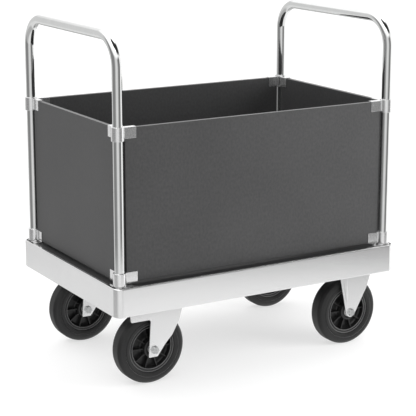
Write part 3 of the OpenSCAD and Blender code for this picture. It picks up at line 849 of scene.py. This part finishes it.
def bracket(corner):
    """Fixed castor bracket: top plate and two tapering legs, each with a pressed rib."""
    node = f"bracket_{corner}"
    low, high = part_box(node)
    axle = centre_of(f"tyre_{corner}")
    middle = (low.y + high.y) / 2
    top = high.z - FORK_SHEET - axle.z + 0.001
    outline = rounded([(-0.043, top), (-BRACKET_TIP, -0.006), (-0.0035, -BRACKET_TIP),
                       (0.0065, -BRACKET_TIP + 0.0012), (BRACKET_TIP + 0.002, -0.001),
                       (0.056, 0.069), (0.076, top)],
                      [0.0008, 0.012, 0.012, 0.010, 0.012, 0.02, 0.0008], 6)
    rib = rounded([(-0.0325, top - 0.003), (-0.0165, top - 0.003), (-0.0125, 0.040),
                   (-0.0145, 0.030), (-0.0185, 0.040)], [0.002, 0.002, 0.004, 0.0015, 0.004], 4)
    ribs = []
    for way in (-1, 1):
        swell = plate([rib], -0.0038, 0.0038, 0.0028)
        ribs.append(along_y(swell, axle.x, middle + way * (FORK_HALF + 0.001), axle.z))
    parts = legs(outline, middle, axle) + ribs + [top_plate(low, high)]
    return fit_out(make_object(f"{node}_pressing", join(parts), CASTOR), node)


def swivel_plate(corner):
    """Top plate of a swivel castor with its domed upper ball seat and skirt."""
    node = f"swivel_plate_{corner}"
    low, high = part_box(node)
    seat_z, cup_top = high.z - CUP_DROP, high.z - 0.0045
    cup = lathe(rounded([(KING_BORE_PLATE, seat_z), (CUP_BORE, seat_z), (CUP_BORE, low.z),
                         (CUP_RADIUS, low.z), (CUP_RADIUS, cup_top), (KING_BORE_PLATE, cup_top)],
                        [0.0004, 0.0006, 0.0006, 0.001, 0.004, 0], 4), 72)
    parts = [top_plate(low, high), moved(cup, (low.x + high.x) / 2, (low.y + high.y) / 2)]
    return fit_out(make_object(f"{node}_pressing", join(parts), CASTOR), node)


def hexagon_head(height):
    """Bolt head or nut, standing on z = 0, with a washer face and chamfered corners."""
    half, steps = ACROSS_FLATS / 2, 36
    corner = half / math.cos(math.radians(30))
    levels = [(half * 0.98, 0.0), (corner, WASHER_FACE), (corner, height * 0.86),
              (half * 0.96, height)]
    points, faces = [], []
    for radius, z in levels:
        for a in arc_angles(2 * math.pi, steps)[:-1]:
            r = min(radius, half / math.cos((a % (math.pi / 3)) - math.pi / 6))
            points.append((r * math.cos(a), r * math.sin(a), z))
    for i in range(len(levels) - 1):
        for k in range(steps):
            n = (k + 1) % steps
            faces.append((i * steps + k, i * steps + n, (i + 1) * steps + n, (i + 1) * steps + k))
    faces.append(tuple(range(steps))[::-1])
    faces.append(tuple((len(levels) - 1) * steps + k for k in range(steps)))
    return clean(mesh_from(points, faces))


def rod(radius, low, high):
    """Round bar along Z with chamfered ends."""
    edge = radius * 0.14
    return lathe([(0.0001, low), (radius - edge, low), (radius, low + edge),
                  (radius, high - edge), (radius - edge, high), (0.0001, high)], 32)


def axle_bolt_mesh(corner):
    """Bolt with its head at the front side, through both legs."""
    head = moved(hexagon_head(HEAD_HEIGHT), z=FORK_HALF)
    shank = rod(AXLE_RADIUS, -FORK_HALF - AXLE_TAIL, FORK_HALF + 0.001)
    return along_y(join([head, shank]), *centre_of(f"tyre_{corner}"))


def axle_nut_mesh(corner):
    """Nut against the rear leg."""
    mesh = hexagon_head(NUT_HEIGHT)
    mesh.transform(Matrix.Diagonal((1, 1, -1, 1)))
    mesh.flip_normals()
    return along_y(moved(mesh, z=-FORK_HALF), *centre_of(f"tyre_{corner}"))


def hex_pieces(node, mesh):
    """Fastener object that stands for a CAD node of bolts or nuts."""
    return fit_out(make_object(f"{node}_hex", mesh, FASTENER), node)


# ---------------------------------------------------------------- all the pieces

deck_frame()
board_ledge()
deck_board()
for side in SIDES:
    bent_tube(side)
for name in FACES + SIDES:
    side_board(name)
for corner in CORNERS:
    clamp("upper", corner)
    clamp("lower", corner)
    tyre(corner)
    rim(corner)
for face in FACES:
    fork(f"{face}_left")
    swivel_plate(f"{face}_left")
    bracket(f"{face}_right")
    hex_pieces(f"axle_bolt_{face}_left", axle_bolt_mesh(f"{face}_left"))
    hex_pieces(f"axle_nut_{face}_left", axle_nut_mesh(f"{face}_left"))
hex_pieces("fixed_axle_bolts", join([axle_bolt_mesh(f"{face}_right") for face in FACES]))
hex_pieces("fixed_axle_nuts", join([axle_nut_mesh(f"{face}_right") for face in FACES]))


# ---------------------------------------------------------------- studio

class Surroundings:
    """Node tools for a world whose brightness depends on the direction it is seen in."""

    def __init__(self, name):
        world = bpy.data.worlds.new(name)
        bpy.context.scene.world = world
        world.use_nodes = True
        self.nodes, self.links = world.node_tree.nodes, world.node_tree.links
        self.nodes.clear()
        self.direction = self.nodes.new("ShaderNodeTexCoord").outputs["Generated"]
        split = self.nodes.new("ShaderNodeSeparateXYZ")
        self.links.new(self.direction, split.inputs["Vector"])
        self.rise = split.outputs["Z"]
        # the angle round the trolley, from -Y towards +X
        away = self.calculate("MULTIPLY", split.outputs["Y"], -1)
        turn = self.calculate("ARCTAN2", split.outputs["X"], away)
        self.around = self.map_range(turn, -math.pi, math.pi)

    def put(self, value, socket):
        if isinstance(value, (int, float)):
            socket.default_value = value
        else:
            self.links.new(value, socket)

    def calculate(self, operation, first, second=0.0):
        node = self.nodes.new("ShaderNodeMath")
        node.operation = operation
        self.put(first, node.inputs[0])
        self.put(second, node.inputs[1])
        return node.outputs[0]

    def map_range(self, value, from_low, from_high):
        """value mapped from from_low to from_high onto 0 to 1."""
        node = self.nodes.new("ShaderNodeMapRange")
        for name, number in (("Value", value), ("From Min", from_low), ("From Max", from_high)):
            self.put(number, node.inputs[name])
        return node.outputs["Result"]

    def mix(self, factor, first, second):
        node = self.nodes.new("ShaderNodeMix")
        node.data_type = "FLOAT"
        for name, number in (("Factor", factor), ("A", first), ("B", second)):
            self.put(number, node.inputs[name])
        return node.outputs["Result"]

    def ring(self, stops):
        """Brightness by the angle round the trolley, in degrees."""
        node = self.nodes.new("ShaderNodeValToRGB")
        ramp = node.color_ramp
        while len(ramp.elements) < len(stops):
            ramp.elements.new(0.5)
        for element, (angle, level) in zip(ramp.elements, stops):
            element.position = (angle + 180) / 360
            element.color = (level, level, level, 1)
        self.links.new(self.around, node.inputs["Fac"])
        return node.outputs["Color"]

    def card(self, angle, lift, radius):
        """1 inside a round card hung at that angle and height, in degrees."""
        angle, lift, radius = map(math.radians, (angle, lift, radius))
        spot = self.nodes.new("ShaderNodeVectorMath")
        spot.operation = "DOT_PRODUCT"
        self.links.new(self.direction, spot.inputs[0])
        spot.inputs[1].default_value = (math.sin(angle) * math.cos(lift),
                                        -math.cos(angle) * math.cos(lift), math.sin(lift))
        return self.map_range(spot.outputs["Value"],
                              math.cos(radius * 1.25), math.cos(radius * 0.9))

    def background(self, colour):
        """Background of that colour: a value, or a node's output."""
        node = self.nodes.new("ShaderNodeBackground")
        if isinstance(colour, tuple):
            node.inputs["Color"].default_value = colour
        else:
            self.links.new(colour, node.inputs["Color"])
        return node.outputs[0]


def studio_world():
    """White studio whose reflections show soft grey walls, the ground and three dark cards."""
    studio = Surroundings("studio")
    walls = studio.ring([(-180, 0.68), (-142, 0.68), (-127, 0.24), (-76, 0.24), (-62, 0.36),
                         (-47, 0.72), (-12, 0.76), (1, 0.34), (12, 0.24), (44, 0.12),
                         (51, 1.0), (95, 1.15), (160, 1.1), (178, 0.68)])
    ground = studio.ring([(-180, 0.78), (-142, 0.78), (-127, 0.48), (-76, 0.46), (-47, 0.80),
                          (20, 0.84), (30, 0.98), (37, 1.0), (42, 0.72), (46, 0.72),
                          (54, 1.05), (125, 1.05), (145, 0.45), (172, 0.45)])
    lift = studio.calculate("ARCSINE", studio.rise)
    foot = studio.map_range(lift, math.radians(-16.2), math.radians(-15.4))
    seen = studio.mix(foot, ground, walls)
    # brighter above, and brightest overhead
    seen = studio.mix(studio.map_range(studio.rise, 0.36, 0.52), seen, 1.15)
    seen = studio.mix(studio.map_range(studio.rise, 0.62, 0.8), seen, 2.2)
    for angle, lift, radius in ((18, 74, 19), (44, 54, 20), (74, 36, 15)):
        seen = studio.mix(studio.card(angle, lift, radius), seen, 0.035)
    # seen directly, behind the trolley, the studio is plain white
    choose = studio.nodes.new("ShaderNodeMixShader")
    path = studio.nodes.new("ShaderNodeLightPath")
    studio.links.new(path.outputs["Is Camera Ray"], choose.inputs["Fac"])
    studio.links.new(studio.background(seen), choose.inputs[1])
    studio.links.new(studio.background((1, 1, 1, 1)), choose.inputs[2])
    out = studio.nodes.new("ShaderNodeOutputWorld")
    studio.links.new(choose.outputs[0], out.inputs["Surface"])


def pale_floor():
    """Wide pale floor that shows the trolley's soft shadow and no reflection in its metal."""
    size = 40.0
    floor = bpy.data.objects.new("studio_floor", mesh_from(
        [(-size, -size, 0), (size, -size, 0), (size, size, 0), (-size, size, 0)], [(0, 1, 2, 3)]))
    bpy.context.scene.collection.objects.link(floor)
    s = Shader("studio_floor", 0.0, 0.9)
    s.link(s.ramp(s.noise(0.8, 2), [(0.3, (0.41, 0.41, 0.41)), (0.7, (0.43, 0.43, 0.43))]),
           "Base Color")
    s.set("Specular IOR Level", 0.1)
    s.set("Emission Color", (1, 1, 1, 1))
    s.set("Emission Strength", 0.6)
    floor.data.materials.append(s.material)
    floor.visible_glossy = False


def softbox(name, place, target, size, power):
    """Rectangular lamp, aimed at the target."""
    light = bpy.data.lights.new(name, "AREA")
    light.shape = "RECTANGLE"
    light.size, light.size_y = size
    light.energy = power
    lamp = bpy.data.objects.new(name, light)
    bpy.context.scene.collection.objects.link(lamp)
    lamp.visible_glossy = False
    lamp.location = place
    lamp.rotation_euler = (Vector(target) - Vector(place)).to_track_quat("-Z", "Y").to_euler()


def camera():
    """Looks along the trolley from the front left, slightly downwards."""
    data = bpy.data.cameras.new("camera")
    data.sensor_width = 36.0
    data.lens = 124.75
    data.shift_y = -0.05
    data.clip_start, data.clip_end = 0.1, 100.0
    eye = bpy.data.objects.new("camera", data)
    bpy.context.scene.collection.objects.link(eye)
    eye.location = (-2.0511, -3.4838, 1.3918)
    turn, tilt = math.radians(30.494), math.radians(12.927)
    eye.rotation_euler = (math.pi / 2 - tilt, 0, -turn)
    bpy.context.scene.camera = eye


studio_world()
pale_floor()
camera()
softbox("key", (-3.0, -1.2, 2.6), (cad_low + cad_high) / 2, (2.0, 2.0), 14)
softbox("fill", (1.5, -1.5, 1.0), (0.45, -0.3, 0.5), (1.2, 1.2), 30)
bpy.context.scene.view_settings.view_transform = "Standard"
